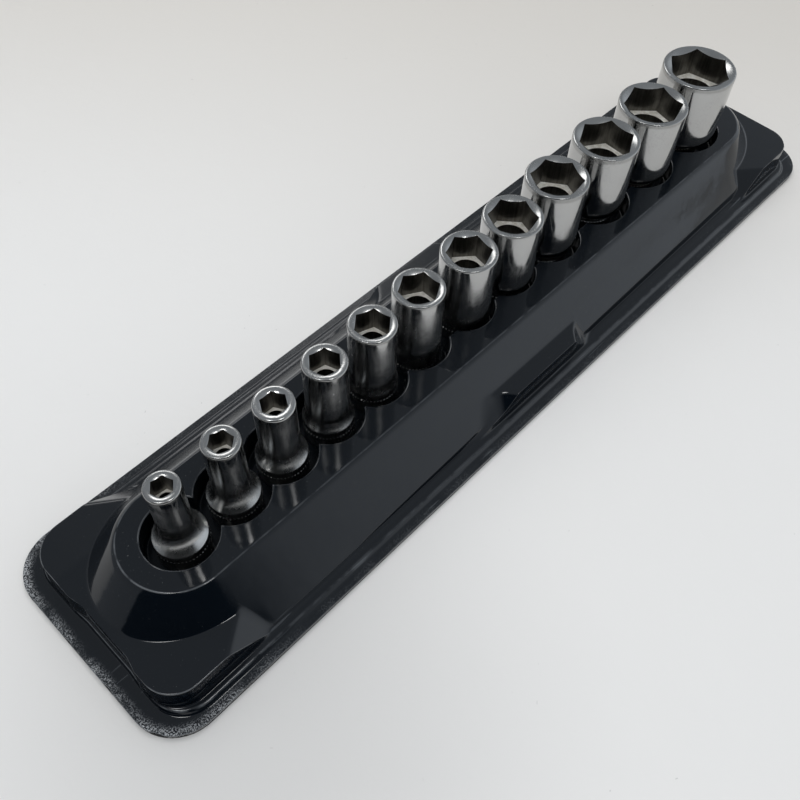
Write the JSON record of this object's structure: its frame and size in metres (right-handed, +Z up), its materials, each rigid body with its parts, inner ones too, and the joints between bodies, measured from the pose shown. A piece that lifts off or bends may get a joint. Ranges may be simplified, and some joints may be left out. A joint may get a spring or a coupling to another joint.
{
  "type": "magnetic socket tray",
  "caption": "Formed black plastic tray with a magnet under a row of round pockets, holding a graded row of chrome drive sockets that each lift out.",
  "frame": {"origin": "middle of the tray's underside, on the surface it lies on", "axes": "+Z up, +X along the row towards the largest socket, +Y across the tray"},
  "size_m": [0.3686, 0.086, 0.0549],
  "materials": {
    "tray_plastic": "glossy black formed sheet with fine scuffs",
    "cover_plastic": "matt black flat sheet",
    "magnet": "sintered ferrite, dull dark grey",
    "keeper": "plain mild steel strip",
    "foam": "closed-cell foam",
    "socket_chrome": "polished chrome plate"
  },
  "bodies": {
    "tray": {"tray_shell": "tray_plastic", "bottom_cover": "cover_plastic", "bar_magnet_1": "magnet", "bar_magnet_2": "magnet", "bar_magnet_3": "magnet", "bar_magnet_4": "magnet", "keeper_bar": "keeper", "foam_block_1": "foam", "foam_block_2": "foam", "foam_block_3": "foam"},
    "socket_01": {"socket_01": "socket_chrome"},
    "socket_02": {"socket_02": "socket_chrome"},
    "socket_03": {"socket_03": "socket_chrome"},
    "socket_04": {"socket_04": "socket_chrome"},
    "socket_05": {"socket_05": "socket_chrome"},
    "socket_06": {"socket_06": "socket_chrome"},
    "socket_07": {"socket_07": "socket_chrome"},
    "socket_08": {"socket_08": "socket_chrome"},
    "socket_09": {"socket_09": "socket_chrome"},
    "socket_10": {"socket_10": "socket_chrome"},
    "socket_11": {"socket_11": "socket_chrome"},
    "socket_12": {"socket_12": "socket_chrome"}
  },
  "joints": [
    {"name": "socket_01_lift", "type": "slide", "parent": "tray", "child": "socket_01", "axis": [0, 0, 1], "range_m": [0, 0.045]},
    {"name": "socket_02_lift", "type": "slide", "parent": "tray", "child": "socket_02", "axis": [0, 0, 1], "range_m": [0, 0.045]},
    {"name": "socket_03_lift", "type": "slide", "parent": "tray", "child": "socket_03", "axis": [0, 0, 1], "range_m": [0, 0.045]},
    {"name": "socket_04_lift", "type": "slide", "parent": "tray", "child": "socket_04", "axis": [0, 0, 1], "range_m": [0, 0.045]},
    {"name": "socket_05_lift", "type": "slide", "parent": "tray", "child": "socket_05", "axis": [0, 0, 1], "range_m": [0, 0.045]},
    {"name": "socket_06_lift", "type": "slide", "parent": "tray", "child": "socket_06", "axis": [0, 0, 1], "range_m": [0, 0.045]},
    {"name": "socket_07_lift", "type": "slide", "parent": "tray", "child": "socket_07", "axis": [0, 0, 1], "range_m": [0, 0.045]},
    {"name": "socket_08_lift", "type": "slide", "parent": "tray", "child": "socket_08", "axis": [0, 0, 1], "range_m": [0, 0.045]},
    {"name": "socket_09_lift", "type": "slide", "parent": "tray", "child": "socket_09", "axis": [0, 0, 1], "range_m": [0, 0.045]},
    {"name": "socket_10_lift", "type": "slide", "parent": "tray", "child": "socket_10", "axis": [0, 0, 1], "range_m": [0, 0.045]},
    {"name": "socket_11_lift", "type": "slide", "parent": "tray", "child": "socket_11", "axis": [0, 0, 1], "range_m": [0, 0.045]},
    {"name": "socket_12_lift", "type": "slide", "parent": "tray", "child": "socket_12", "axis": [0, 0, 1], "range_m": [0, 0.045]}
  ]
}
